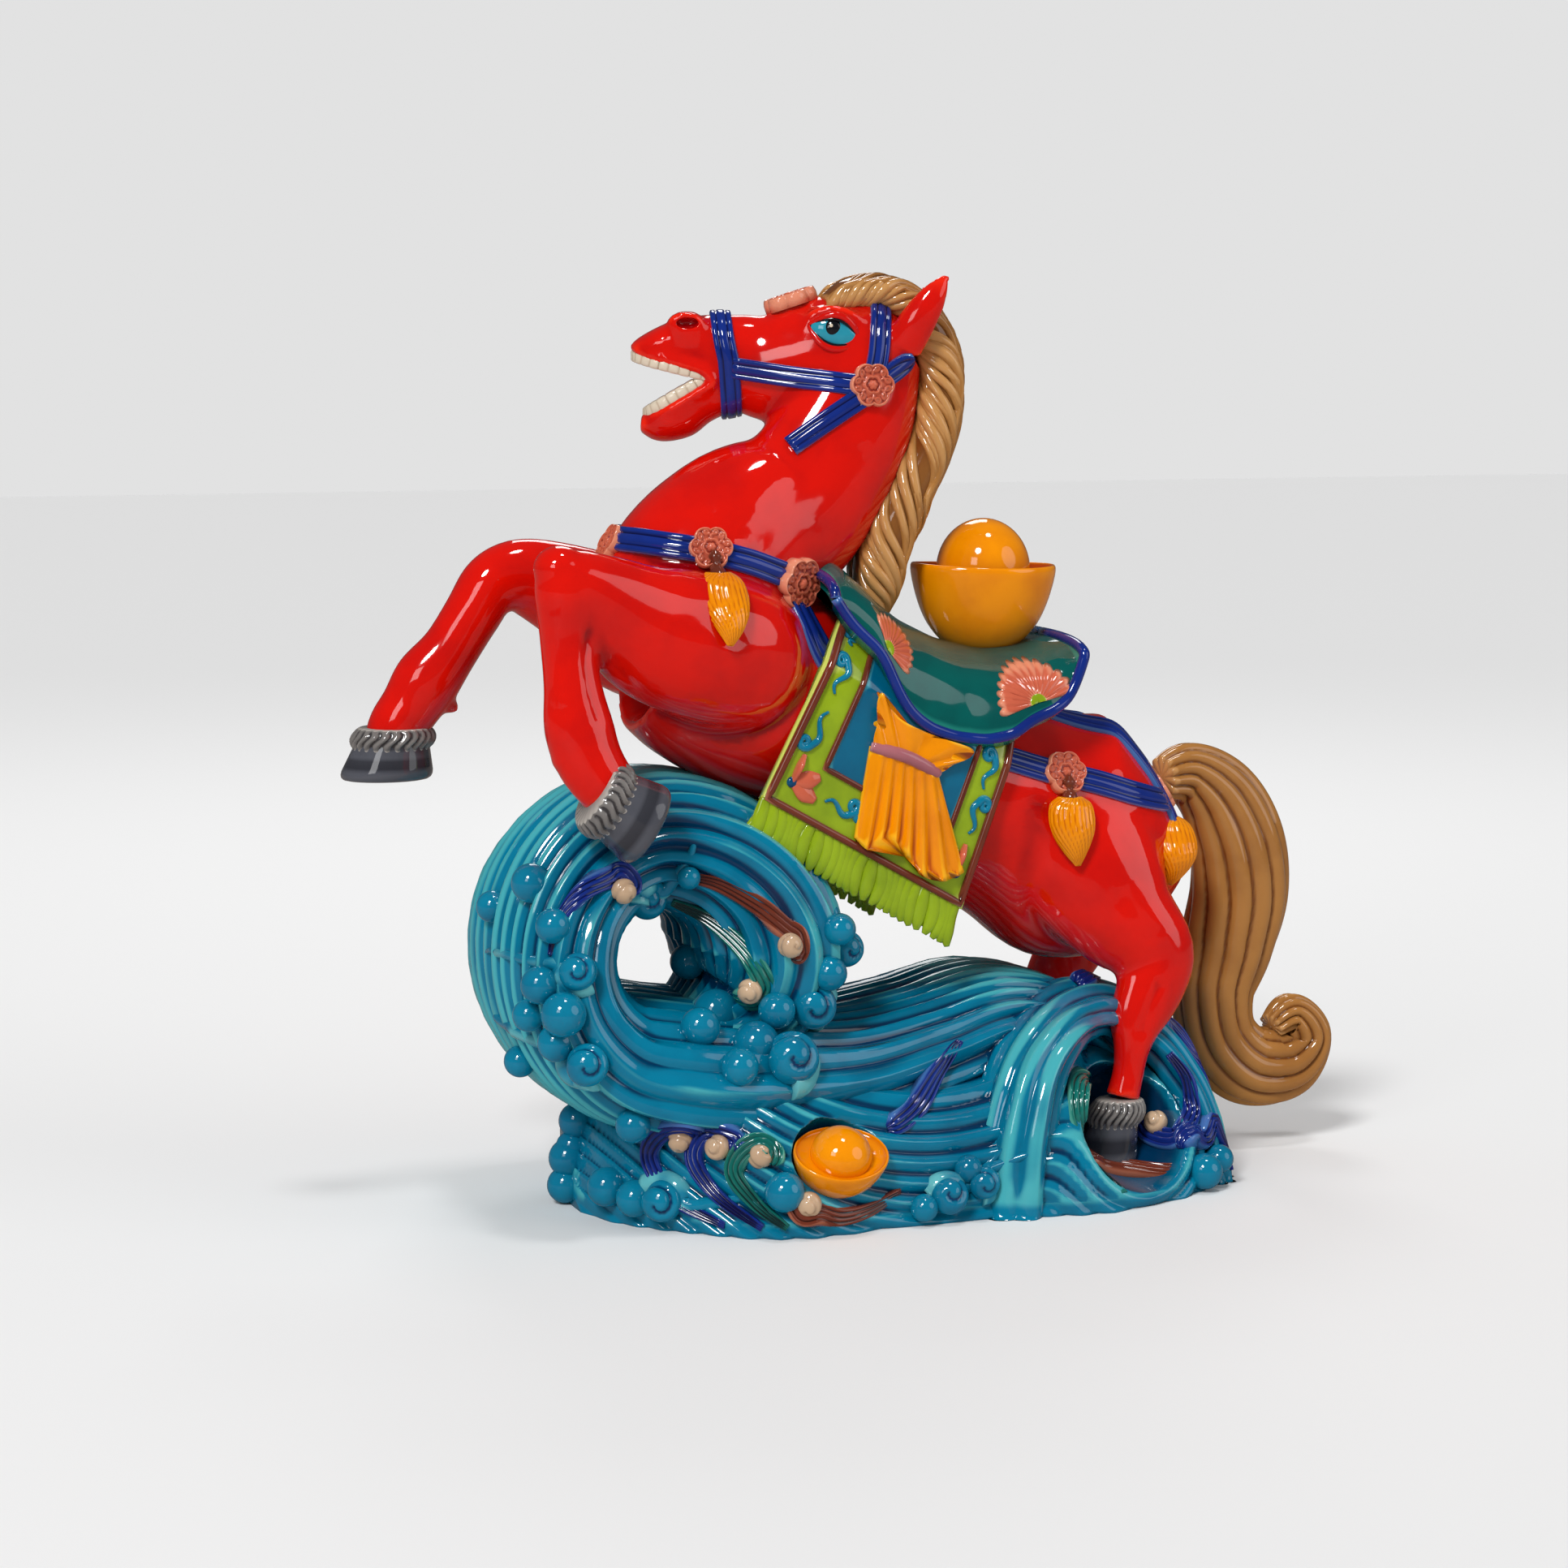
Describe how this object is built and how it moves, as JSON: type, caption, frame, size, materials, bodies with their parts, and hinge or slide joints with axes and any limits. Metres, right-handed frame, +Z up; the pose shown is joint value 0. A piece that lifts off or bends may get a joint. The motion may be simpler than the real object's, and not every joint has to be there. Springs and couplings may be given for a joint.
{
  "type": "feng shui horse statue",
  "caption": "Glazed pottery statue of a rearing horse over a curling wave, saddled, with an ingot on its back; stands on its flat underside.",
  "frame": {"origin": "middle of the footprint of the whole statue, on the surface that it stands on", "axes": "+Z up, +X from the horse's head towards its tail, -Y towards the side with the turned-away head's open face, the side seen first"},
  "size_m": [0.4599, 0.21, 0.3999],
  "materials": {
    "red_glaze": "gloss",
    "turquoise_glaze": "gloss",
    "tan_glaze": "gloss",
    "teal_glaze": "gloss",
    "lime_glaze": "gloss",
    "gold_glaze": "gloss",
    "navy_glaze": "gloss",
    "coral_glaze": "gloss",
    "green_glaze": "gloss",
    "brown_glaze": "gloss"
  },
  "bodies": {
    "root": {"horse": "red_glaze", "wave_base": "turquoise_glaze", "mane": "tan_glaze", "tail": "tan_glaze", "saddle": "teal_glaze", "saddle_blanket": "lime_glaze", "drape_near": "gold_glaze", "drape_far": "gold_glaze", "large_ingot": "gold_glaze", "small_ingot": "gold_glaze", "bridle": "navy_glaze", "breast_collar": "navy_glaze", "crupper": "navy_glaze", "rosette_forehead": "coral_glaze", "rosette_chest": "coral_glaze", "rosette_cheek_near": "coral_glaze", "rosette_cheek_far": "coral_glaze", "rosette_breast_near": "coral_glaze", "rosette_shoulder_near": "coral_glaze", "rosette_croup_near": "coral_glaze", "rosette_rump_near": "coral_glaze", "tassel_breast_near": "gold_glaze", "tassel_croup_near": "gold_glaze", "tassel_rump_near": "gold_glaze", "rosette_breast_far": "coral_glaze", "rosette_shoulder_far": "coral_glaze", "rosette_croup_far": "coral_glaze", "rosette_rump_far": "coral_glaze", "tassel_breast_far": "gold_glaze", "tassel_croup_far": "gold_glaze", "tassel_rump_far": "gold_glaze", "strand_shoulder": "navy_glaze", "strand_over_eye": "brown_glaze", "strand_beside_eye": "green_glaze", "strand_front_1": "navy_glaze", "strand_front_2": "navy_glaze", "strand_front_3": "green_glaze", "strand_front_4": "brown_glaze", "strand_middle": "navy_glaze", "strand_hoof_left": "green_glaze", "strand_hoof_right": "navy_glaze", "strand_rim_brown": "brown_glaze", "strand_rim_navy": "navy_glaze", "strand_rim_top": "navy_glaze", "strand_rim_low": "navy_glaze", "strand_far_rim": "navy_glaze", "strand_far_rim_low": "green_glaze"}
  },
  "joints": []
}
